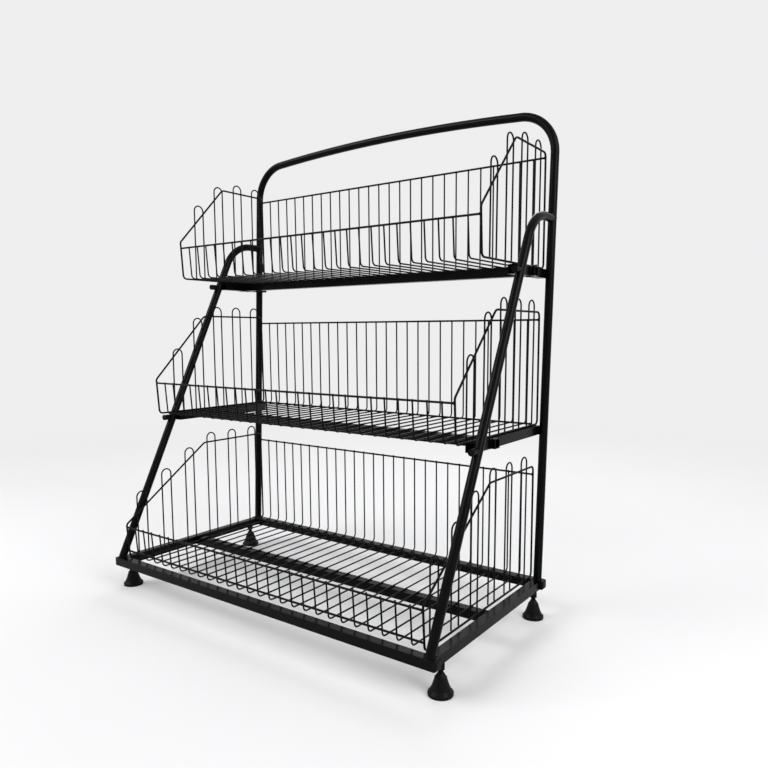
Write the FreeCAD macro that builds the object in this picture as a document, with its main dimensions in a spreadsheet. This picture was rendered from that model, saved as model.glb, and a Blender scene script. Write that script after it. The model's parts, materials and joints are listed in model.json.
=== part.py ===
"""Wire basket display stand: a bent tube frame on a rail base with three tiers of wire baskets.

Millimetres. X runs across the stand, Y from front to back, Z up. The baskets face the front, towards
-Y. The floor is Z = 0 and the stand is centred on X = 0. Everything is laid out with Y = 0 at the foot
of the uprights, and at the end it is moved so that the origin is in the middle of its footprint.
"""
import FreeCAD, Part
import math
import os
from FreeCAD import Placement, Rotation, Vector

doc = FreeCAD.newDocument("basket_stand")

# Driving dimensions
SIZES = [
    ("tube_diameter", 19.0, "bent frame tubes, outside"),
    ("tube_wall", 1.5, "wall of the frame tubes"),
    ("upright_spacing", 920.0, "between the centres of the two uprights"),
    ("upright_lean", 2.3, "uprights lean back, degrees"),
    ("frame_height", 1147.0, "floor to the top of the arched top rail"),
    ("corner_radius", 90.0, "centreline radius of the two top corners"),
    ("arch_rise", 14.0, "bow of the top rail above the corners"),
    ("joint_height", 893.0, "side tube centre where it meets the upright"),
    ("side_level_run", 98.0, "side tube, from its corner back to the centre of the upright"),
    ("side_bend_radius", 95.0, "centreline radius of the side tube bend"),
    ("base_depth", 462.0, "between the centres of the front and rear rails"),
    ("ground_clearance", 60.0, "floor to the underside of the rails"),
    ("rail_size", 20.0, "square section of the base rails"),
    ("rail_wall", 1.5, "wall of the base rails"),
    ("rail_overhang", 3.0, "front and rear rails past the side of the tubes"),
    ("middle_rail_back", 233.0, "middle rail centre in front of the rear rail centre"),
    ("cap_thickness", 6.0, "plastic cap on each rail end"),
    ("cap_rounding", 5.0, "rounding of the outer edges of each cap"),
    ("foot_diameter", 47.0, "levelling foot at the floor"),
    ("foot_flange", 5.0, "height of the round edge of the foot"),
    ("foot_flare", 36.0, "diameter of the foot above its flared edge"),
    ("foot_flare_height", 12.0, "height of the flared edge of the foot"),
    ("foot_waist", 22.0, "diameter of the foot at its shoulder"),
    ("foot_shoulder", 33.0, "height of the shoulder of the foot"),
    ("foot_neck", 11.0, "diameter of the foot at its top"),
    ("foot_height", 42.0, "height of the whole foot"),
    ("foot_inset", 30.0, "foot centres inside the centres of the front and rear rails"),
    ("foot_outset", 4.0, "foot centres outside the centres of the side rails"),
    ("stud_diameter", 9.0, "threaded stud of the foot"),
    ("nut_width", 14.0, "lock nut under the rail, across its flats"),
    ("nut_height", 12.0, "height of the lock nut"),
    ("bar_size", 20.0, "square section of the tier bars"),
    ("bar_wall", 1.5, "wall of the tier bars"),
    ("side_bar_inset", 19.0, "side bar centres inside the centres of the uprights"),
    ("cross_bar_back", 78.0, "cross bar centre behind the side tube centres"),
    ("bolt_diameter", 14.0, "round bolt head in front of each side tube"),
    ("bolt_length", 19.0, "bolt head in front of the tube surface"),
    ("bolt_drop", 13.0, "bolt centre below the top of the tier bars"),
    ("wire_diameter", 3.5, "panel and floor wires of the baskets"),
    ("rim_diameter", 4.5, "rim and side frame wires of the baskets"),
    ("wire_bend", 10.0, "radius between the floor wires and the panels"),
    ("wire_count", 26, "wires across each basket"),
    ("wire_pitch", 33.0, "between the centres of neighbouring wires"),
    ("side_frame_inset", 18.0, "side frame wires inside the centres of the uprights"),
    ("frame_corner_bend", 10.0, "radius of the corners of the side frames"),
    ("frame_knee_bend", 18.0, "radius of the knee of the side frames"),
    ("basket_setback", 8.0, "back rim in front of the centres of the uprights"),
    ("back_lean", 2.0, "foot of the back panel behind its top"),
    ("front_lean", 6.0, "top of the front panel in front of its foot"),
    ("rear_wire_inset", 38.0, "rear floor wire in front of the foot of the back panel"),
    ("loop_width", 28.0, "between the legs of a side loop"),
    ("front_wire_height", 18.0, "second front wire of the low basket above its floor"),
    ("low_front_gap", 8.5, "low basket, top of the front panel behind the front rail centre"),
    ("low_back", 243.0, "low basket, back rim above the floor of the basket"),
    ("low_side", 262.0, "low basket, side frame above the floor of the basket"),
    ("low_front", 80.0, "low basket, front rim above the floor of the basket"),
    ("low_corner", 87.0, "low basket, front corner above the floor of the basket"),
    ("low_knee", 211.0, "low basket, back rim to the knee of the side frame"),
    ("low_loops", 6, "low basket, loops in each side"),
    ("low_loop_pitch", 75.0, "low basket, between neighbouring loops"),
    ("low_loop_start", 41.0, "low basket, back rim to the first loop"),
    ("low_level_rise", 26.0, "low basket, loops above the level run of the side frame"),
    ("low_front_rise", 54.0, "low basket, loops above the side frame at its front corner"),
    ("mid_share", 0.3327, "middle basket floor, as a share of the way from the rails to the top"),
    ("mid_depth", 366.0, "middle basket, back rim to the top of the front panel"),
    ("mid_back", 237.0, "middle basket, back rim above the floor of the basket"),
    ("mid_side", 254.0, "middle basket, side frame above the floor of the basket"),
    ("mid_front", 81.0, "middle basket, front rim above the floor of the basket"),
    ("mid_corner", 90.0, "middle basket, front corner above the floor of the basket"),
    ("mid_knee", 211.0, "middle basket, back rim to the knee of the side frame"),
    ("mid_loops", 5, "middle basket, loops in each side"),
    ("mid_loop_pitch", 68.0, "middle basket, between neighbouring loops"),
    ("mid_loop_start", 33.0, "middle basket, back rim to the first loop"),
    ("mid_level_rise", 25.0, "middle basket, loops above the level run of the side frame"),
    ("mid_front_rise", 4.0, "middle basket, loops above the side frame at its front corner"),
    ("top_share", 0.6593, "top basket floor, as a share of the way from the rails to the top"),
    ("top_depth", 290.0, "top basket, back rim to the top of the front panel"),
    ("top_back", 240.0, "top basket, back rim above the floor of the basket"),
    ("top_side", 251.0, "top basket, side frame above the floor of the basket"),
    ("top_front", 80.0, "top basket, front rim above the floor of the basket"),
    ("top_corner", 96.0, "top basket, front corner above the floor of the basket"),
    ("top_knee", 149.0, "top basket, back rim to the knee of the side frame"),
    ("top_loops", 4, "top basket, loops in each side"),
    ("top_loop_pitch", 68.0, "top basket, between neighbouring loops"),
    ("top_loop_start", 31.0, "top basket, back rim to the first loop"),
    ("top_level_rise", 20.0, "top basket, loops above the level run of the side frame"),
    ("top_front_rise", 52.0, "top basket, loops above the side frame at its front corner"),
]

sheet = doc.addObject("Spreadsheet::Sheet", "Sizes")
for row, (alias, number, note) in enumerate(SIZES, start=1):
    sheet.set(f"A{row}", note)
    sheet.set(f"B{row}", str(number))
    sheet.setAlias(f"B{row}", alias)
doc.recompute()


def size(alias):
    """A driving dimension, read from the sheet."""
    return float(sheet.get(alias))


nodes = []


def keep(thing):
    """Add a finished sub-part to the list that is written out."""
    thing.Label = thing.Name
    nodes.append(thing)
    return thing


def bind(thing, **expressions):
    """Bind properties of an object to the sheet; a double underscore stands for a dot."""
    for name, expression in expressions.items():
        thing.setExpression(name.replace("__", "."), expression)


# Shared places, all worked out from the sheet
UPRIGHT_X = size("upright_spacing") / 2
RAIL_TOP = size("ground_clearance") + size("rail_size")
FRONT_RAIL_Y = -size("base_depth")
UPRIGHT_ANGLE = math.radians(size("upright_lean"))
JOINT_Y = math.tan(UPRIGHT_ANGLE) * (size("joint_height") - RAIL_TOP)
CORNER_Y = JOINT_Y - size("side_level_run")
SIDE_SLOPE = (CORNER_Y - FRONT_RAIL_Y) / (size("joint_height") - RAIL_TOP)
FRAME_X = UPRIGHT_X - size("side_frame_inset")
RIM_R = size("rim_diameter") / 2
WIRE_R = size("wire_diameter") / 2
LAP = RIM_R + WIRE_R


def side_tube_y(height):
    """Where the straight run of a side tube is at a height."""
    return FRONT_RAIL_Y + SIDE_SLOPE * (height - RAIL_TOP)


def upright_y(height):
    """Where the centres of the leaning uprights are at a height."""
    return math.tan(UPRIGHT_ANGLE) * (height - RAIL_TOP)


def tier_floor(tier):
    """Underside of the floor wires of a tier; the low basket stands on the rails."""
    if tier == "low":
        return RAIL_TOP
    return RAIL_TOP + size(f"{tier}_share") * (size("frame_height") - RAIL_TOP)


def rounded_path(points, radii, closed=False):
    """A wire of straight runs with an arc of the given radius at each corner."""
    count = len(points)
    corners = {}
    for index, radius in enumerate(radii):
        if radius <= 0 or (not closed and index in (0, count - 1)):
            continue
        here = points[index]
        before = (points[index - 1] - here).normalize()
        after = (points[(index + 1) % count] - here).normalize()
        half = before.getAngle(after) / 2
        reach = radius / math.tan(half)
        bisector = (before + after).normalize()
        centre = here + bisector * (radius / math.sin(half))
        middle = centre - bisector * radius
        corners[index] = (here + before * reach, middle, here + after * reach)
    edges = []
    for index in range(count if closed else count - 1):
        following = (index + 1) % count
        start = corners[index][2] if index in corners else points[index]
        end = corners[following][0] if following in corners else points[following]
        edges.append(Part.LineSegment(start, end).toShape())
        if following in corners:
            edges.append(Part.Arc(*corners[following]).toShape())
    return Part.Wire(edges)


def sweep_round(name, path, diameter):
    """Sweep a circle, whose diameter is an expression, along a path."""
    route = doc.addObject("Part::Feature", name + "_path")
    route.Shape = path
    first = path.OrderedEdges[0]
    tangent = first.tangentAt(first.FirstParameter)
    if first.Orientation == "Reversed":
        tangent = first.tangentAt(first.LastParameter) * -1
    start = path.OrderedVertexes[0].Point
    section = doc.addObject("Part::Circle", name + "_section")
    section.Placement = Placement(start, Rotation(Vector(0, 0, 1), tangent))
    section.setExpression("Radius", f"({diameter}) / 2")
    sweep = doc.addObject("Part::Sweep", name)
    sweep.Sections = [section]
    sweep.Spine = (route, [f"Edge{number + 1}" for number in range(len(path.Edges))])
    sweep.Solid = True
    sweep.Frenet = True
    return sweep


def difference(name, base, tool):
    """Base without tool."""
    cut = doc.addObject("Part::Cut", name)
    cut.Base = base
    cut.Tool = tool
    return cut


def bent_tube(name, path):
    """A hollow round tube along a path, and the solid rod of the same outside."""
    rod = sweep_round(name + "_rod", path, "Sizes.tube_diameter")
    bore = sweep_round(name + "_bore", path, "Sizes.tube_diameter - 2 * Sizes.tube_wall")
    return difference(name, rod, bore), rod


def box(name, length, width, height, corner):
    """A box whose three sizes are expressions, with its least corner at a place."""
    block = doc.addObject("Part::Box", name)
    bind(block, Length=length, Width=width, Height=height)
    block.Placement = Placement(corner, Rotation())
    return block


def together(name, things):
    """Separate objects as one sub-part."""
    gathered = doc.addObject("Part::Compound", name)
    gathered.Links = things
    return gathered


def below_rails():
    """A block whose top face is level with the tops of the base rails."""
    corner = Vector(-2 * UPRIGHT_X, 2 * FRONT_RAIL_Y, 0)
    return box("below_rails", "2 * Sizes.upright_spacing", "3 * Sizes.base_depth",
               "Sizes.ground_clearance + Sizes.rail_size", corner)


def square_tube(name, along, length, section, wall, corner):
    """A hollow square tube along X or Y, its section and wall given as names in the sheet."""
    sides = [f"Sizes.{section}"] * 3
    inner = [f"Sizes.{section} - 2 * Sizes.{wall}"] * 3
    axis = "XY".index(along)
    sides[axis] = length
    inner[axis] = length
    inset = [size(wall)] * 3
    inset[axis] = 0.0
    outside = box(name + "_outside", *sides, corner)
    inside = box(name + "_inside", *inner, corner + Vector(*inset))
    return difference(name, outside, inside)


def group(name, template, shifts):
    """Separate copies of one shape, moved by a list of vectors, as one sub-part."""
    doc.recompute()
    copies = [solid.translated(shift) for shift in shifts for solid in template.Shape.Solids]
    gathered = doc.addObject("Part::Feature", name)
    gathered.Shape = Part.makeCompound(copies)
    return keep(gathered)


def make_rear_frame(below):
    """Two leaning uprights, a bend at the top of each and an arched rail between the bends."""
    radius = size("corner_radius")
    tube_r = size("tube_diameter") / 2
    crown = (size("frame_height") - tube_r - RAIL_TOP) / math.cos(UPRIGHT_ANGLE)
    side = UPRIGHT_X - radius
    drop = radius + size("arch_rise")
    corner = crown - drop
    arch_radius = (side ** 2 + drop ** 2 - radius ** 2) / (2 * size("arch_rise"))
    arch_centre = crown - arch_radius
    rise = math.atan2(corner - arch_centre, side)

    def on_frame(x, length):
        """A point in the leaning plane of the frame, at a length above the rails."""
        return Vector(x, length * math.sin(UPRIGHT_ANGLE), RAIL_TOP + length * math.cos(UPRIGHT_ANGLE))

    def on_corner(hand, angle):
        """A point on the bend of a top corner."""
        return on_frame(hand * (side + radius * math.cos(angle)), corner + radius * math.sin(angle))

    arch = Part.Arc(on_corner(-1, rise), on_frame(0, crown), on_corner(1, rise)).toShape()
    tube, rod = bent_tube("top_rail", Part.Wire([arch]))
    keep(tube)
    rods = [rod]
    foot = -size("tube_diameter")
    for hand, name in ((-1, "left"), (1, "right")):
        bend = Part.Arc(on_corner(hand, 0), on_corner(hand, rise / 2), on_corner(hand, rise)).toShape()
        tube, rod = bent_tube(f"top_corner_{name}", Part.Wire([bend]))
        keep(tube)
        rods.append(rod)
        run = Part.LineSegment(on_frame(hand * UPRIGHT_X, foot), on_corner(hand, 0)).toShape()
        tube, rod = bent_tube(f"upright_{name}_whole", Part.Wire([run]))
        keep(difference(f"upright_{name}", tube, below))
        rods.append(rod)
    return together("rear_rods", rods)


def make_side_tube(hand, below, rear_rods):
    """A tube from the front rail up and back, bent level to meet the upright."""
    name = "side_tube_left" if hand < 0 else "side_tube_right"
    joint = size("joint_height")
    buried = RAIL_TOP - size("tube_diameter")
    points = [
        Vector(hand * UPRIGHT_X, side_tube_y(buried), buried),
        Vector(hand * UPRIGHT_X, CORNER_Y, joint),
        Vector(hand * UPRIGHT_X, JOINT_Y, joint),
    ]
    tube, rod = bent_tube(name + "_whole", rounded_path(points, [0, size("side_bend_radius"), 0]))
    seated = difference(name + "_seated", tube, below)
    keep(difference(name, seated, rear_rods))
    return rod


def make_base():
    """Front and rear rails with capped ends, side rails between them and a middle rail."""
    rail = size("rail_size")
    low = size("ground_clearance")
    reach = UPRIGHT_X + size("tube_diameter") / 2 + size("rail_overhang")
    wide = "Sizes.upright_spacing + Sizes.tube_diameter + 2 * Sizes.rail_overhang"
    for name, y in (("front", FRONT_RAIL_Y), ("rear", 0.0)):
        corner = Vector(-reach, y - rail / 2, low)
        keep(square_tube(f"rail_{name}", "X", wide, "rail_size", "rail_wall", corner))
        caps = []
        for end, x in (("left", -reach - size("cap_thickness")), ("right", reach)):
            cap = box(f"cap_{name}_{end}_block", "Sizes.cap_thickness", "Sizes.rail_size",
                      "Sizes.rail_size", Vector(x, y - rail / 2, low))
            caps.append(rounded_cap(f"cap_{name}_{end}", cap, x < 0))
        keep(together(f"caps_{name}", caps))
    between = "Sizes.base_depth - Sizes.rail_size"
    for name, x in (("left", -UPRIGHT_X), ("right", UPRIGHT_X)):
        corner = Vector(x - rail / 2, FRONT_RAIL_Y + rail / 2, low)
        keep(square_tube(f"rail_{name}", "Y", between, "rail_size", "rail_wall", corner))
    corner = Vector(-UPRIGHT_X + rail / 2, -size("middle_rail_back") - rail / 2, low)
    keep(square_tube("rail_middle", "X", "Sizes.upright_spacing - Sizes.rail_size", "rail_size",
                     "rail_wall", corner))


def rounded_cap(name, block, faces_left):
    """Round the outer edges of a rail cap."""
    doc.recompute()
    outer_x = block.Shape.BoundBox.XMin if faces_left else block.Shape.BoundBox.XMax
    rounding = size("cap_rounding")
    edges = []
    for number, edge in enumerate(block.Shape.Edges, start=1):
        if all(abs(vertex.X - outer_x) < 1e-6 for vertex in edge.Vertexes):
            edges.append((number, rounding, rounding))
    cap = doc.addObject("Part::Fillet", name)
    cap.Base = block
    cap.Edges = edges
    return cap


def make_feet():
    """Four bell-shaped levelling feet, each on a stud with a lock nut."""
    inset = size("foot_inset")
    reach = UPRIGHT_X + size("foot_outset")
    for row, y in (("front", FRONT_RAIL_Y + inset), ("rear", -inset)):
        screws = [make_foot(f"{row}_{end}", x, y) for end, x in (("left", -reach), ("right", reach))]
        keep(together(f"studs_{row}", screws))


def make_foot(name, x, y):
    """One foot; its stud with the lock nut is handed back."""
    flange = doc.addObject("Part::Cylinder", f"foot_{name}_flange")
    bind(flange, Radius="Sizes.foot_diameter / 2", Height="Sizes.foot_flange")
    flare = doc.addObject("Part::Cone", f"foot_{name}_flare")
    bind(flare, Radius1="Sizes.foot_diameter / 2", Radius2="Sizes.foot_flare / 2",
         Height="Sizes.foot_flare_height - Sizes.foot_flange")
    flare.Placement = Placement(Vector(0, 0, size("foot_flange")), Rotation())
    bell = doc.addObject("Part::Cone", f"foot_{name}_bell")
    bind(bell, Radius1="Sizes.foot_flare / 2", Radius2="Sizes.foot_waist / 2",
         Height="Sizes.foot_shoulder - Sizes.foot_flare_height")
    bell.Placement = Placement(Vector(0, 0, size("foot_flare_height")), Rotation())
    neck = doc.addObject("Part::Cone", f"foot_{name}_neck")
    bind(neck, Radius1="Sizes.foot_waist / 2", Radius2="Sizes.foot_neck / 2",
         Height="Sizes.foot_height - Sizes.foot_shoulder")
    neck.Placement = Placement(Vector(0, 0, size("foot_shoulder")), Rotation())
    foot = doc.addObject("Part::MultiFuse", f"foot_{name}")
    foot.Shapes = [flange, flare, bell, neck]
    foot.Placement = Placement(Vector(x, y, 0), Rotation())
    keep(foot)
    stud = doc.addObject("Part::Cylinder", f"stud_{name}_thread")
    bind(stud, Radius="Sizes.stud_diameter / 2",
         Height="Sizes.ground_clearance - Sizes.foot_height")
    nut = doc.addObject("Part::Prism", f"stud_{name}_nut")
    nut.Polygon = 6
    bind(nut, Circumradius="Sizes.nut_width / sqrt(3)", Height="Sizes.nut_height")
    nut_z = size("ground_clearance") - size("foot_height") - size("nut_height")
    nut.Placement = Placement(Vector(0, 0, nut_z), Rotation())
    screw = doc.addObject("Part::MultiFuse", f"stud_{name}")
    screw.Shapes = [stud, nut]
    screw.Placement = Placement(Vector(x, y, size("foot_height")), Rotation())
    return screw


def make_tier(tier, tubes):
    """The bars that carry an upper basket, and the bolts in front of the side tubes."""
    bar = size("bar_size")
    top = tier_floor(tier)
    low = top - bar
    front = side_tube_y(top - bar / 2)
    cross_y = front + size("cross_bar_back")
    corner = Vector(-UPRIGHT_X, cross_y - bar / 2, low)
    cross_bar = square_tube(f"{tier}_cross_bar", "X", "Sizes.upright_spacing", "bar_size", "bar_wall",
                            corner)
    keep(cross_bar)
    # The side bars stop against the side tubes, the cross bar and the uprights
    stops = together(f"{tier}_stops", [tubes, cross_bar.Base])
    for side, name in ((-1, "left"), (1, "right")):
        x = side * (UPRIGHT_X - size("side_bar_inset"))
        length = str(upright_y(top) - front)
        start = Vector(x - bar / 2, front, low)
        whole = square_tube(f"{tier}_side_bar_{name}_whole", "Y", length, "bar_size", "bar_wall", start)
        keep(difference(f"{tier}_side_bar_{name}", whole, stops))
    heads = []
    bolt_z = top - size("bolt_drop")
    for side, name in ((-1, "left"), (1, "right")):
        head = doc.addObject("Part::Cylinder", f"{tier}_bolt_{name}")
        bind(head, Radius="Sizes.bolt_diameter / 2",
             Height="Sizes.bolt_length + Sizes.tube_diameter / 2")
        start = Vector(side * UPRIGHT_X, side_tube_y(bolt_z), bolt_z)
        head.Placement = Placement(start, Rotation(Vector(0, 0, 1), Vector(0, -1, 0)))
        heads.append(head)
    pair = together(f"{tier}_bolt_pair", heads)
    keep(difference(f"{tier}_bolts", pair, tubes))


def basket_back(tier):
    """Where the back rim of a basket is, in front of the leaning uprights."""
    return upright_y(tier_floor(tier) + size(f"{tier}_back")) - size("basket_setback")


def basket_front(tier):
    """Where the top of the front panel of a basket is."""
    if tier == "low":
        return FRONT_RAIL_Y + size("low_front_gap")
    return basket_back(tier) - size(f"{tier}_depth")


def loop_crown(tier, ahead):
    """Height of the top of a side loop at a distance in front of the back rim."""
    knee = size(f"{tier}_knee")
    crown = tier_floor(tier) + size(f"{tier}_side") + size(f"{tier}_level_rise")
    if ahead <= knee:
        return crown
    part = (ahead - knee) / (basket_back(tier) - basket_front(tier) - knee)
    front_crown = tier_floor(tier) + size(f"{tier}_corner") + size(f"{tier}_front_rise")
    return crown + part * (front_crown - crown)


def make_basket(tier):
    """One basket: wires front to back, rims, side frames and side loops."""
    bend = size("wire_bend")
    floor = tier_floor(tier)
    rim_y = basket_back(tier)
    front_y = basket_front(tier)
    wire_z = floor + WIRE_R
    back_z = floor + size(f"{tier}_back")
    front_z = floor + size(f"{tier}_front")
    back_foot = rim_y + LAP + size("back_lean")
    front_foot = front_y + size("front_lean")
    back_slope = math.atan2(size("back_lean"), back_z - wire_z)
    front_slope = math.atan2(size("front_lean"), front_z - wire_z)
    first = -(size("wire_count") - 1) / 2 * size("wire_pitch")
    count = int(size("wire_count"))
    shifts = [Vector(first + number * size("wire_pitch"), 0, 0) for number in range(count)]

    # Back and front legs end level with the tops of their rims
    back_top = Vector(0, rim_y + LAP / math.cos(back_slope) - RIM_R * math.tan(back_slope), back_z + RIM_R)
    back_corner = Vector(0, back_foot, wire_z)
    front_top = Vector(0, front_y - RIM_R * math.tan(front_slope), front_z + RIM_R)
    front_corner = Vector(0, front_foot, wire_z)
    back_start = back_corner - Vector(0, bend * math.tan((math.pi / 2 + back_slope) / 2), 0)
    front_start = front_corner + Vector(0, bend * math.tan((math.pi / 2 - front_slope) / 2), 0)

    floor_run = doc.addObject("Part::Cylinder", f"{tier}_floor_wire")
    floor_run.setExpression("Radius", "Sizes.wire_diameter / 2")
    floor_run.Height = back_start.y - front_start.y
    floor_run.Placement = Placement(front_start, Rotation(Vector(0, 0, 1), Vector(0, 1, 0)))
    group(f"{tier}_floor_wires", floor_run, shifts)
    for place, start, corner, end in (("back", back_start, back_corner, back_top),
                                      ("front", front_start, front_corner, front_top)):
        turn, rise = leg_paths(start, corner, end, bend)
        halves = [sweep_round(f"{tier}_{place}_turn", turn, "Sizes.wire_diameter"),
                  sweep_round(f"{tier}_{place}_leg", rise, "Sizes.wire_diameter")]
        group(f"{tier}_{place}_wires", together(f"{tier}_{place}_pattern", halves), shifts)

    # Rims lie against the outside of the front legs and the inside of the back legs
    make_rim(f"{tier}_back_rim", rim_y, back_z)
    make_rim(f"{tier}_front_rim", front_y - LAP / math.cos(front_slope), front_z)
    make_rim(f"{tier}_rear_wire", back_foot - size("rear_wire_inset"),
             floor + size("wire_diameter") + RIM_R)
    if tier == "low":
        rise = size("front_wire_height")
        lean = size("front_lean") * (rise - WIRE_R) / (front_z - wire_z)
        make_rim("low_front_wire", front_foot - lean - LAP / math.cos(front_slope), floor + rise)

    for side, name in ((-1, "left"), (1, "right")):
        make_side_frame(tier, side, name)
        make_side_loops(tier, side, name)


def leg_paths(start, corner, end, bend):
    """The bend out of the floor, and the straight leg above it."""
    along = (corner - start).normalize()
    up = (end - corner).normalize()
    reach = (corner - start).Length
    finish = corner + up * reach
    bisector = (up - along).normalize()
    half = (along * -1).getAngle(up) / 2
    centre = corner + bisector * (bend / math.sin(half))
    middle = centre - bisector * bend
    turn = Part.Wire([Part.Arc(start, middle, finish).toShape()])
    leg = Part.Wire([Part.LineSegment(finish, end).toShape()])
    return turn, leg


def make_rim(name, y, z):
    """A straight wire across the basket between the two side frames."""
    rim = doc.addObject("Part::Cylinder", name)
    bind(rim, Radius="Sizes.rim_diameter / 2",
         Height="Sizes.upright_spacing - 2 * Sizes.side_frame_inset - Sizes.rim_diameter")
    rim.Placement = Placement(Vector(-FRAME_X + RIM_R, y, z), Rotation(Vector(0, 0, 1), Vector(1, 0, 0)))
    keep(rim)


def make_side_frame(tier, side, name):
    """A closed wire round the side of a basket."""
    x = side * FRAME_X
    floor = tier_floor(tier)
    back = basket_back(tier)
    front = basket_front(tier) - LAP
    bottom = floor + RIM_R
    top = floor + size(f"{tier}_side")
    points = [
        Vector(x, back + size("back_lean"), bottom),
        Vector(x, front + size("front_lean"), bottom),
        Vector(x, front, floor + size(f"{tier}_corner")),
        Vector(x, back - size(f"{tier}_knee"), top),
        Vector(x, back, top),
    ]
    corner = size("frame_corner_bend")
    radii = [corner, corner, corner, size("frame_knee_bend"), corner]
    path = rounded_path(points, radii, closed=True)
    keep(sweep_round(f"{tier}_side_frame_{name}", path, "Sizes.rim_diameter"))


def make_side_loops(tier, side, name):
    """Hairpin loops inside a side frame, taller than it."""
    x = side * (FRAME_X - LAP)
    half = size("loop_width") / 2
    foot = tier_floor(tier) + RIM_R
    loops = []
    for number in range(int(size(f"{tier}_loops"))):
        ahead = size(f"{tier}_loop_start") + number * size(f"{tier}_loop_pitch")
        y = basket_back(tier) - ahead
        crown = loop_crown(tier, ahead)
        bend = crown - half
        path = Part.Wire([
            Part.LineSegment(Vector(x, y - half, foot), Vector(x, y - half, bend)).toShape(),
            Part.Arc(Vector(x, y - half, bend), Vector(x, y, crown), Vector(x, y + half, bend)).toShape(),
            Part.LineSegment(Vector(x, y + half, bend), Vector(x, y + half, foot)).toShape(),
        ])
        loops.append(sweep_round(f"{tier}_loop_{name}_{number + 1}", path, "Sizes.wire_diameter"))
    keep(together(f"{tier}_loops_{name}", loops))


def centre_footprint():
    """Move every sub-part so that the origin is in the middle of the footprint."""
    boxes = [node.Shape.optimalBoundingBox(False) for node in nodes]
    middle = (min(each.YMin for each in boxes) + max(each.YMax for each in boxes)) / 2
    for node in nodes:
        node.Placement = Placement(Vector(0, -middle, 0), Rotation()).multiply(node.Placement)
    doc.recompute()


def main():
    below = below_rails()
    rear_rods = make_rear_frame(below)
    side_rods = [make_side_tube(hand, below, rear_rods) for hand in (-1, 1)]
    tubes = together("all_rods", [rear_rods] + side_rods)
    make_base()
    make_feet()
    for tier in ("mid", "top"):
        make_tier(tier, tubes)
    for tier in ("low", "mid", "top"):
        make_basket(tier)
    doc.recompute()
    centre_footprint()

    for thing in doc.Objects:
        if "Invalid" in thing.State or "Error" in thing.State:
            raise RuntimeError(f"{thing.Name} did not build: {thing.State}")
    for node in nodes:
        if node.Shape.isNull() or not node.Shape.isValid():
            raise RuntimeError(f"{node.Name} has no valid shape")
    os.makedirs("parts", exist_ok=True)
    for node in nodes:
        node.Shape.exportStep(f"parts/{node.Name}.step")
    print(len(nodes), "sub-parts written")


main()
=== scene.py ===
"""Looks of a wire basket display stand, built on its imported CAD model. Metres, Z up."""
import json
import math

import bpy
from mathutils import Matrix, Vector


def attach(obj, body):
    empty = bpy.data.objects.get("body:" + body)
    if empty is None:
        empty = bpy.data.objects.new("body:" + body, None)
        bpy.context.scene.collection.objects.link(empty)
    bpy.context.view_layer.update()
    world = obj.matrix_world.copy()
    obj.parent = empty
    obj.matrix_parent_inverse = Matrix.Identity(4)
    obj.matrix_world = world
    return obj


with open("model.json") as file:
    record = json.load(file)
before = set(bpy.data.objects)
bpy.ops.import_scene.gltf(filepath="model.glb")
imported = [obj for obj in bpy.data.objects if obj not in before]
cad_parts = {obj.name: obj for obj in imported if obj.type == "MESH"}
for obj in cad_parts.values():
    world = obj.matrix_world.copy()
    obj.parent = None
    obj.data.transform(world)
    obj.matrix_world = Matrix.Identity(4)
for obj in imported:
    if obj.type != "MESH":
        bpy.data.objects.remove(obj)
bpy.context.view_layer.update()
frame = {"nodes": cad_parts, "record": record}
scene = bpy.context.scene
nodes = frame["nodes"]


# Camera at the photograph's viewpoint

FOCAL_PX = 670.43
IMAGE_PX = 768
PRINCIPAL_PX = (395.2, 412.8)
SENSOR_MM = 36.0
CAMERA_AT = Vector((1.0529, -1.19395, 0.6416))
YAW, PITCH, ROLL = math.radians(35.288), math.radians(-6.734), math.radians(-0.045)


def make_camera():
    """A camera that sees the stand as the photograph does."""
    data = bpy.data.cameras.new("camera")
    data.sensor_width = SENSOR_MM
    data.lens = SENSOR_MM * FOCAL_PX / IMAGE_PX
    data.shift_x = (IMAGE_PX / 2 - PRINCIPAL_PX[0]) / IMAGE_PX
    data.shift_y = (PRINCIPAL_PX[1] - IMAGE_PX / 2) / IMAGE_PX
    camera = bpy.data.objects.new("camera", data)
    scene.collection.objects.link(camera)
    level = math.cos(PITCH)
    forward = Vector((-math.sin(YAW) * level, math.cos(YAW) * level, math.sin(PITCH)))
    right = forward.cross(Vector((0, 0, 1))).normalized()
    up = right.cross(forward)
    side = right * math.cos(ROLL) + up * math.sin(ROLL)
    top = up * math.cos(ROLL) - right * math.sin(ROLL)
    turn = Matrix((side, top, -forward)).transposed().to_4x4()
    camera.matrix_world = Matrix.Translation(CAMERA_AT) @ turn
    scene.camera = camera


# Materials

NOISE_FROM, NOISE_TO = 0.3, 0.7
CLOUD_SCALE, PATCH_SCALE = 9.0, 38.0
MOTTLE_SCALE, GLOSS_SCALE, GRAIN_SCALE = 60.0, 140.0, 1400.0
PEEL_STRENGTH, GRAIN_STRENGTH, RELIEF = 0.10, 0.15, 0.0003
PLASTIC_ROUGHNESS = (0.38, 0.55)
PAINT_SPECULAR, PLASTIC_SPECULAR = 0.07, 0.09


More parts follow.
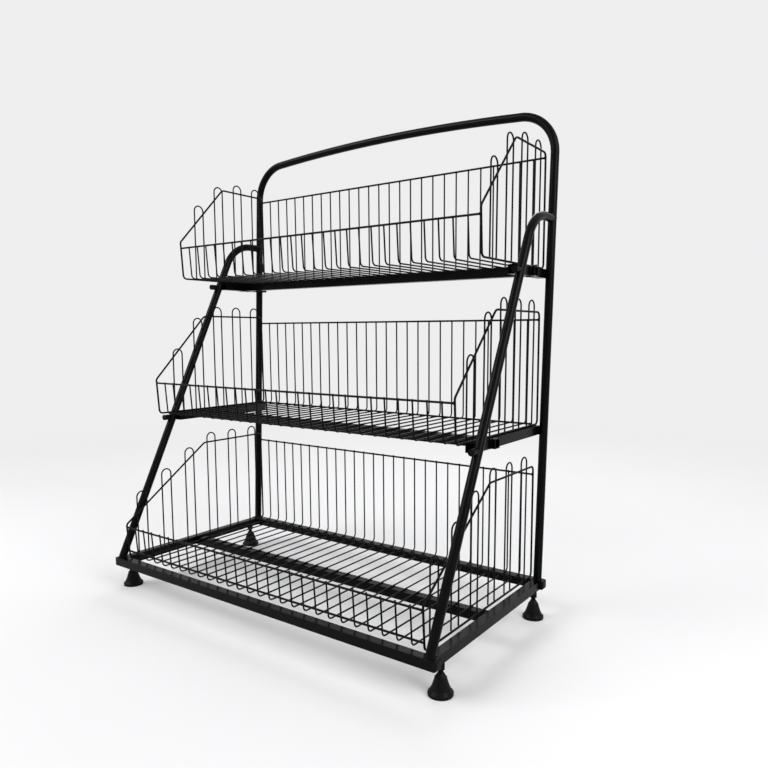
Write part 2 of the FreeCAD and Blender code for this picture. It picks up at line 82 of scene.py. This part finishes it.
class Graph:
    """A short way to build a node material."""

    def __init__(self, name):
        self.material = bpy.data.materials.new(name)
        self.material.use_nodes = True
        self.tree = self.material.node_tree
        self.shader = self.tree.nodes["Principled BSDF"]

    def node(self, kind, **values):
        """Add a node, with its own settings or the values of its inputs."""
        made = self.tree.nodes.new(kind)
        for key, value in values.items():
            if hasattr(made, key):
                setattr(made, key, value)
            else:
                made.inputs[key.replace("_", " ")].default_value = value
        return made

    def link(self, source, target):
        """Join an output to an input."""
        self.tree.links.new(source, target)

    def noise(self, scale, detail):
        """Noise in the object's own coordinates."""
        place = self.node("ShaderNodeTexCoord")
        noise = self.node("ShaderNodeTexNoise", Scale=scale, Detail=detail)
        self.link(place.outputs["Object"], noise.inputs["Vector"])
        return noise.outputs["Fac"]

    def colours(self, fac, low, high):
        """A colour between two, as the noise goes."""
        ramp = self.node("ShaderNodeValToRGB")
        ramp.color_ramp.elements[0].position = NOISE_FROM
        ramp.color_ramp.elements[1].position = NOISE_TO
        ramp.color_ramp.elements[0].color = (*low, 1.0)
        ramp.color_ramp.elements[1].color = (*high, 1.0)
        self.link(fac, ramp.inputs["Fac"])
        return ramp.outputs["Color"]

    def numbers(self, fac, low, high):
        """A number between two, as the noise goes."""
        mapped = self.node("ShaderNodeMapRange")
        mapped.inputs["From Min"].default_value = NOISE_FROM
        mapped.inputs["From Max"].default_value = NOISE_TO
        mapped.inputs["To Min"].default_value = low
        mapped.inputs["To Max"].default_value = high
        self.link(fac, mapped.inputs["Value"])
        return mapped.outputs["Result"]

    def bump(self, height, strength, distance):
        """Fine relief from a height."""
        bump = self.node("ShaderNodeBump", Strength=strength, Distance=distance)
        self.link(height, bump.inputs["Height"])
        self.link(bump.outputs["Normal"], self.shader.inputs["Normal"])


def painted(name, low, high, rough, peel):
    """Black stoved paint: faint cloudiness, uneven gloss and a fine orange peel."""
    graph = Graph(name)
    cloud = graph.noise(CLOUD_SCALE, detail=4.0)
    graph.link(graph.colours(cloud, low, high), graph.shader.inputs["Base Color"])
    patch = graph.noise(PATCH_SCALE, detail=5.0)
    graph.link(graph.numbers(patch, *rough), graph.shader.inputs["Roughness"])
    graph.bump(graph.noise(peel, detail=2.0), PEEL_STRENGTH, RELIEF)
    graph.shader.inputs["Specular IOR Level"].default_value = PAINT_SPECULAR
    return graph.material


def moulded(name, low, high):
    """Black moulded plastic with a fine grain."""
    graph = Graph(name)
    mottle = graph.noise(MOTTLE_SCALE, detail=4.0)
    graph.link(graph.colours(mottle, low, high), graph.shader.inputs["Base Color"])
    gloss = graph.noise(GLOSS_SCALE, detail=3.0)
    graph.link(graph.numbers(gloss, *PLASTIC_ROUGHNESS), graph.shader.inputs["Roughness"])
    graph.bump(graph.noise(GRAIN_SCALE, detail=2.0), GRAIN_STRENGTH, RELIEF)
    graph.shader.inputs["Specular IOR Level"].default_value = PLASTIC_SPECULAR
    return graph.material


BY_SLOT = {
    "tube_paint": painted("tube_paint", (0.0008, 0.0008, 0.0009), (0.0018, 0.0018, 0.0019),
                          rough=(0.20, 0.30), peel=900.0),
    "wire_coat": painted("wire_coat", (0.0008, 0.0008, 0.0008), (0.0017, 0.0017, 0.0017),
                         rough=(0.28, 0.40), peel=1500.0),
    "black_plastic": moulded("black_plastic", (0.0016, 0.0016, 0.0017), (0.0034, 0.0034, 0.0036)),
    "fastener": painted("fastener", (0.0014, 0.0014, 0.0014), (0.0030, 0.0030, 0.0030),
                        rough=(0.28, 0.42), peel=1800.0),
}


def dress_nodes():
    """Give every CAD node the material of its slot."""
    slots = {each["node"]: each["material_slot"] for each in frame["record"]["subparts"]}
    for name, thing in nodes.items():
        thing.data.materials.clear()
        thing.data.materials.append(BY_SLOT[slots[name]])
        for polygon in thing.data.polygons:
            polygon.material_index = 0


# Small details that the CAD model leaves out; spots and beads are given by their radii

# Wires, tubes and joints as the CAD model has them
WIRE_PITCH, WIRE_COUNT = 0.033, 26
WIRE_X = [(number - (WIRE_COUNT - 1) / 2) * WIRE_PITCH for number in range(WIRE_COUNT)]
RIM_R = 0.00225
TUBE_R = 0.0095
TUBE_X = 0.46
SIDE_TUBE_LEAN = math.radians(26.0)
JOINT_HEIGHT = 0.893
# Spot welds of the baskets
CROSSING_SPOT = (0.0028, 0.0026, 0.0026)
RIM_END_SPOT = (0.0022, 0.0034, 0.0034)
BAR_SPOT = (0.0032, 0.0036, 0.0016)
BAR_SPOT_LIFT, BAR_SPOT_EDGE = 0.0006, 0.002
# Weld beads of the frame: thick and thin by turns, and tapered at the ends
DROP_WAIST, DROP_END = 0.82, 0.45
LINE_DROPS, RING_STEPS = 10, 28
TUBE_BEAD, SADDLE_BEAD, BAR_BEAD = 0.0019, 0.0016, 0.0018
BAR_BEAD_LOW, BAR_BEAD_HIGH = 0.004, 0.014
FLAT_BEAD, STANDING_BEAD, FLAT_BEAD_INSET = 0.0015, 0.0014, 0.001
# Threads of the studs, and height, radius, thickness and steps of each lip on a foot
STUD_R, THREAD_R, THREAD_STEPS = 0.0045, 0.0005, 20
THREAD_PITCH, THREAD_TURNS, THREAD_START = 0.00125, 4, 0.0007
FOOT_LIPS = ((0.0050, 0.0229, 0.0011, 32), (0.0125, 0.0178, 0.0009, 32), (0.0330, 0.0108, 0.0009, 24))


def ball(around, rows):
    """Points and faces of a unit ball."""
    points = [Vector((0, 0, -1))]
    for row in range(1, rows):
        lift = math.pi * (row / rows - 0.5)
        for step in range(around):
            turn = 2 * math.pi * step / around
            points.append(Vector((math.cos(lift) * math.cos(turn), math.cos(lift) * math.sin(turn),
                                  math.sin(lift))))
    points.append(Vector((0, 0, 1)))
    faces = []
    top = len(points) - 1
    for step in range(around):
        following = (step + 1) % around
        faces.append((0, 1 + following, 1 + step))
        for row in range(rows - 2):
            low, high = 1 + row * around, 1 + (row + 1) * around
            faces.append((low + step, low + following, high + following, high + step))
        last = 1 + (rows - 2) * around
        faces.append((last + step, last + following, top))
    return points, faces


BALL_POINTS, BALL_FACES = ball(around=8, rows=5)


class Beads:
    """Collects small rounded shapes into one mesh."""

    def __init__(self):
        self.points = []
        self.faces = []

    def blob(self, place, radii):
        """A flattened ball, for a spot weld."""
        start = len(self.points)
        for point in BALL_POINTS:
            self.points.append(place + Vector([point[axis] * radii[axis] for axis in range(3)]))
        self.faces += [tuple(start + corner for corner in face) for face in BALL_FACES]

    def cord(self, points, radius, closed=False, sides=8):
        """A round bead along a list of points, with ripples like a row of weld drops."""
        count = len(points)
        start = len(self.points)
        side = None
        for index, point in enumerate(points):
            before = points[index - 1] if closed or index > 0 else point
            after = points[(index + 1) % count] if closed or index < count - 1 else point
            along = (after - before).normalized()
            side = along.orthogonal() if side is None else side - along * side.dot(along)
            side.normalize()
            across = along.cross(side)
            thick = radius * (1.0 if index % 2 else DROP_WAIST)
            if not closed and index in (0, count - 1):
                thick = radius * DROP_END
            for step in range(sides):
                angle = 2 * math.pi * step / sides
                self.points.append(point + (side * math.cos(angle) + across * math.sin(angle)) * thick)
        for index in range(count if closed else count - 1):
            first = start + index * sides
            second = start + (index + 1) % count * sides
            for step in range(sides):
                following = (step + 1) % sides
                self.faces.append((first + step, first + following, second + following, second + step))
        if not closed:
            end = start + (count - 1) * sides
            self.faces.append(tuple(range(start + sides - 1, start - 1, -1)))
            self.faces.append(tuple(range(end, end + sides)))

    def line(self, start, end, radius):
        """A straight bead between two points."""
        start, end = Vector(start), Vector(end)
        self.cord([start.lerp(end, step / (LINE_DROPS - 1)) for step in range(LINE_DROPS)], radius)

    def finish(self, name, slot):
        """Make the mesh a piece of the stand."""
        data = bpy.data.meshes.new(name)
        data.from_pydata(self.points, [], self.faces)
        for polygon in data.polygons:
            polygon.use_smooth = True
        piece = bpy.data.objects.new(name, data)
        scene.collection.objects.link(piece)
        data.materials.append(BY_SLOT[slot])
        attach(piece, "root")


def limits(name):
    """Least and greatest corner of a CAD node."""
    thing = nodes[name]
    spots = [thing.matrix_world @ vertex.co for vertex in thing.data.vertices]
    low = Vector([min(spot[axis] for spot in spots) for axis in range(3)])
    high = Vector([max(spot[axis] for spot in spots) for axis in range(3)])
    return low, high


def middle(name):
    """Middle of a CAD node."""
    low, high = limits(name)
    return (low + high) / 2


def bar_spots(spots, name):
    """Spot welds where the floor wires cross the top of a rail or bar."""
    low, high = limits(name)
    for x in WIRE_X:
        for y in (low.y + BAR_SPOT_EDGE, high.y - BAR_SPOT_EDGE):
            spots.blob(Vector((x, y, high.z + BAR_SPOT_LIFT)), BAR_SPOT)


def basket_welds():
    """Spot welds of the wires on the rims, the rear wires and what carries the baskets."""
    spots = Beads()
    for tier in ("low", "mid", "top"):
        crossings = []
        for name in (f"{tier}_back_rim", f"{tier}_front_rim"):
            rim = middle(name)
            crossings.append((rim.y + RIM_R, rim.z))
        rear = middle(f"{tier}_rear_wire")
        crossings.append((rear.y, rear.z - RIM_R))
        if tier == "low":
            wire = middle("low_front_wire")
            crossings.append((wire.y + RIM_R, wire.z))
        for y, z in crossings:
            for x in WIRE_X:
                spots.blob(Vector((x, y, z)), CROSSING_SPOT)
        for name in (f"{tier}_back_rim", f"{tier}_front_rim", f"{tier}_rear_wire"):
            low, high = limits(name)
            centre = (low + high) / 2
            for x in (low.x, high.x):
                spots.blob(Vector((x, centre.y, centre.z)), RIM_END_SPOT)
    for name in ("mid_cross_bar", "top_cross_bar", "rail_middle"):
        bar_spots(spots, name)
    spots.finish("basket_spot_welds", "wire_coat")


def turns(count):
    """Angles all the way round."""
    return [2 * math.pi * step / count for step in range(count)]


def ellipse(centre, radius_x, radius_y, count):
    """Points on a level ellipse."""
    return [centre + Vector((radius_x * math.cos(angle), radius_y * math.sin(angle), 0.0))
            for angle in turns(count)]


def tube_welds(beads):
    """Beads round the feet of the tubes, and where the side tubes meet the uprights."""
    rear, front = middle("rail_rear"), middle("rail_front")
    top = limits("rail_rear")[1].z
    joint = Vector((0.0, limits("side_tube_right")[1].y, JOINT_HEIGHT))
    for x in (-TUBE_X, TUBE_X):
        round_foot = ellipse(Vector((x, rear.y, top)), TUBE_R, TUBE_R, RING_STEPS)
        beads.cord(round_foot, TUBE_BEAD, closed=True)
        long_foot = ellipse(Vector((x, front.y, top)), TUBE_R, TUBE_R / math.cos(SIDE_TUBE_LEAN), RING_STEPS)
        beads.cord(long_foot, TUBE_BEAD, closed=True)
        saddle = []
        for angle in turns(RING_STEPS):
            across = TUBE_R * math.cos(angle)
            back = math.sqrt(max(TUBE_R ** 2 - across ** 2, 0.0))
            saddle.append(Vector((x + across, joint.y - back, joint.z + TUBE_R * math.sin(angle))))
        beads.cord(saddle, SADDLE_BEAD, closed=True)


def rail_welds(beads):
    """Beads at the ends of the side rails and of the middle rail."""
    for name in ("rail_left", "rail_right"):
        low, high = limits(name)
        inner, outer = low.x + FLAT_BEAD_INSET, high.x - FLAT_BEAD_INSET
        for y in (low.y, high.y):
            beads.line((inner, y, high.z), (outer, y, high.z), FLAT_BEAD)
            beads.line((inner, y, low.z), (outer, y, low.z), FLAT_BEAD)
        for x in (low.x, high.x):
            for y in (low.y, high.y):
                beads.line((x, y, low.z), (x, y, high.z), STANDING_BEAD)
    low, high = limits("rail_middle")
    for x in (low.x, high.x):
        beads.line((x, low.y, high.z), (x, high.y, high.z), FLAT_BEAD)
        beads.line((x, low.y, low.z), (x, high.y, low.z), FLAT_BEAD)
        for y in (low.y, high.y):
            beads.line((x, y, low.z), (x, y, high.z), STANDING_BEAD)


def bar_welds(beads, tier, hand):
    """Beads between a side bar, the cross bar and the tubes."""
    bar_low, bar_high = limits(f"{tier}_cross_bar")
    low, high = limits(f"{tier}_side_bar_{hand}")
    for y in (bar_low.y, bar_high.y):
        for x in (low.x, high.x):
            beads.line((x, y, bar_low.z), (x, y, bar_high.z), STANDING_BEAD)
        beads.line((low.x, y, bar_low.z), (high.x, y, bar_low.z), STANDING_BEAD)
    outer = high.x if hand == "right" else low.x
    beads.line((outer, high.y, low.z), (outer, high.y, high.z), BAR_BEAD)
    beads.line((outer, low.y + BAR_BEAD_LOW, low.z), (outer, low.y + BAR_BEAD_HIGH, high.z), BAR_BEAD)


def frame_welds():
    """Weld beads where the tubes, rails and bars of the frame meet."""
    beads = Beads()
    tube_welds(beads)
    rail_welds(beads)
    for tier in ("mid", "top"):
        for hand in ("left", "right"):
            bar_welds(beads, tier, hand)
    beads.finish("frame_welds", "tube_paint")


def ring(beads, place, radius, thickness, count):
    """A thin round ring on a level circle."""
    beads.cord(ellipse(place, radius, radius, count), thickness, closed=True, sides=6)


def foot_details():
    """Threads on the studs and lips round each foot."""
    threads = Beads()
    lips = Beads()
    for name in ("front_left", "front_right", "rear_left", "rear_right"):
        centre = middle(f"foot_{name}")
        top = limits(f"foot_{name}")[1].z
        for turn in range(THREAD_TURNS):
            z = top + THREAD_START + turn * THREAD_PITCH
            ring(threads, Vector((centre.x, centre.y, z)), STUD_R, THREAD_R, THREAD_STEPS)
        for z, radius, thickness, count in FOOT_LIPS:
            ring(lips, Vector((centre.x, centre.y, z)), radius, thickness, count)
    threads.finish("stud_threads", "fastener")
    lips.finish("foot_lips", "black_plastic")


# Floor, background and light

BACKGROUND = (0.86, 0.86, 0.87)
FLOOR_SHADE = (0.84, 0.84, 0.85)
FLOOR_SCALE, FLOOR_REACH = 1.3, 30.0
FADE_FROM, FADE_TO = 1.1, 3.6


def seen_directly(tree):
    """One where a camera, mirror or glass ray looks at the surface, and zero for light."""
    path = tree.nodes.new("ShaderNodeLightPath")
    total = path.outputs["Is Camera Ray"]
    for kind in ("Is Glossy Ray", "Is Transmission Ray"):
        most = tree.nodes.new("ShaderNodeMath")
        most.operation = "MAXIMUM"
        tree.links.new(total, most.inputs[0])
        tree.links.new(path.outputs[kind], most.inputs[1])
        total = most.outputs["Value"]
    return total


def floor_paint():
    """A pale matt floor that passes into the colour of the background with distance."""
    graph = Graph("floor")
    cloud = graph.noise(FLOOR_SCALE, detail=2.0)
    graph.link(graph.colours(cloud, BACKGROUND, FLOOR_SHADE), graph.shader.inputs["Base Color"])
    graph.shader.inputs["Roughness"].default_value = 0.6
    graph.shader.inputs["Specular IOR Level"].default_value = 0.2
    place = graph.node("ShaderNodeTexCoord")
    reach = graph.node("ShaderNodeVectorMath", operation="LENGTH")
    graph.link(place.outputs["Object"], reach.inputs[0])
    fade = graph.node("ShaderNodeMapRange", interpolation_type="SMOOTHSTEP")
    fade.inputs["From Min"].default_value = FADE_FROM
    fade.inputs["From Max"].default_value = FADE_TO
    graph.link(reach.outputs["Value"], fade.inputs["Value"])
    share = graph.node("ShaderNodeMath", operation="MULTIPLY")
    graph.link(fade.outputs["Result"], share.inputs[0])
    graph.link(seen_directly(graph.tree), share.inputs[1])
    glow = graph.node("ShaderNodeEmission")
    glow.inputs["Color"].default_value = (*BACKGROUND, 1.0)
    mix = graph.node("ShaderNodeMixShader")
    graph.link(share.outputs["Value"], mix.inputs["Fac"])
    graph.link(graph.shader.outputs["BSDF"], mix.inputs[1])
    graph.link(glow.outputs["Emission"], mix.inputs[2])
    graph.link(mix.outputs["Shader"], graph.tree.nodes["Material Output"].inputs["Surface"])
    return graph.material


def make_stage():
    """A plain pale floor that fades into a pale background."""
    data = bpy.data.meshes.new("floor")
    signs = ((-1, -1), (1, -1), (1, 1), (-1, 1))
    data.from_pydata([(FLOOR_REACH * x, FLOOR_REACH * y, 0) for x, y in signs], [], [(0, 1, 2, 3)])
    floor = bpy.data.objects.new("floor", data)
    scene.collection.objects.link(floor)
    data.materials.append(floor_paint())


def make_world():
    """An even grey light, behind a plain background."""
    world = bpy.data.worlds.new("world")
    scene.world = world
    world.use_nodes = True
    tree = world.node_tree
    out = tree.nodes["World Output"]
    seen = tree.nodes["Background"]
    seen.inputs["Color"].default_value = (*BACKGROUND, 1)
    seen.inputs["Strength"].default_value = 1.0
    light = tree.nodes.new("ShaderNodeBackground")
    light.inputs["Color"].default_value = (1.0, 1.0, 1.0, 1)
    light.inputs["Strength"].default_value = 0.55
    mix = tree.nodes.new("ShaderNodeMixShader")
    tree.links.new(seen_directly(tree), mix.inputs["Fac"])
    tree.links.new(light.outputs["Background"], mix.inputs[1])
    tree.links.new(seen.outputs["Background"], mix.inputs[2])
    tree.links.new(mix.outputs["Shader"], out.inputs["Surface"])


def area_light(name, place, aim, size, power):
    """A rectangular lamp that faces a point; size in metres, power in watts."""
    data = bpy.data.lights.new(name, "AREA")
    data.shape = "RECTANGLE"
    data.size, data.size_y = size
    data.energy = power
    lamp = bpy.data.objects.new(name, data)
    scene.collection.objects.link(lamp)
    lamp.location = place
    lamp.rotation_mode = "QUATERNION"
    lamp.rotation_quaternion = (Vector(aim) - Vector(place)).to_track_quat("-Z", "Y")


def make_lights():
    """Soft key, side and back lights."""
    area_light("key_light", (-2.2, -2.6, 3.2), (0, 0, 0.5), size=(2.4, 2.0), power=95)
    area_light("side_light", (3.0, -0.4, 2.2), (0, 0, 0.6), size=(1.6, 2.2), power=55)
    area_light("back_light", (-0.6, 3.2, 3.0), (0, 0, 0.7), size=(3.0, 1.4), power=45)


dress_nodes()
basket_welds()
frame_welds()
foot_details()
make_camera()
make_stage()
make_world()
make_lights()

scene.view_settings.view_transform = "Standard"
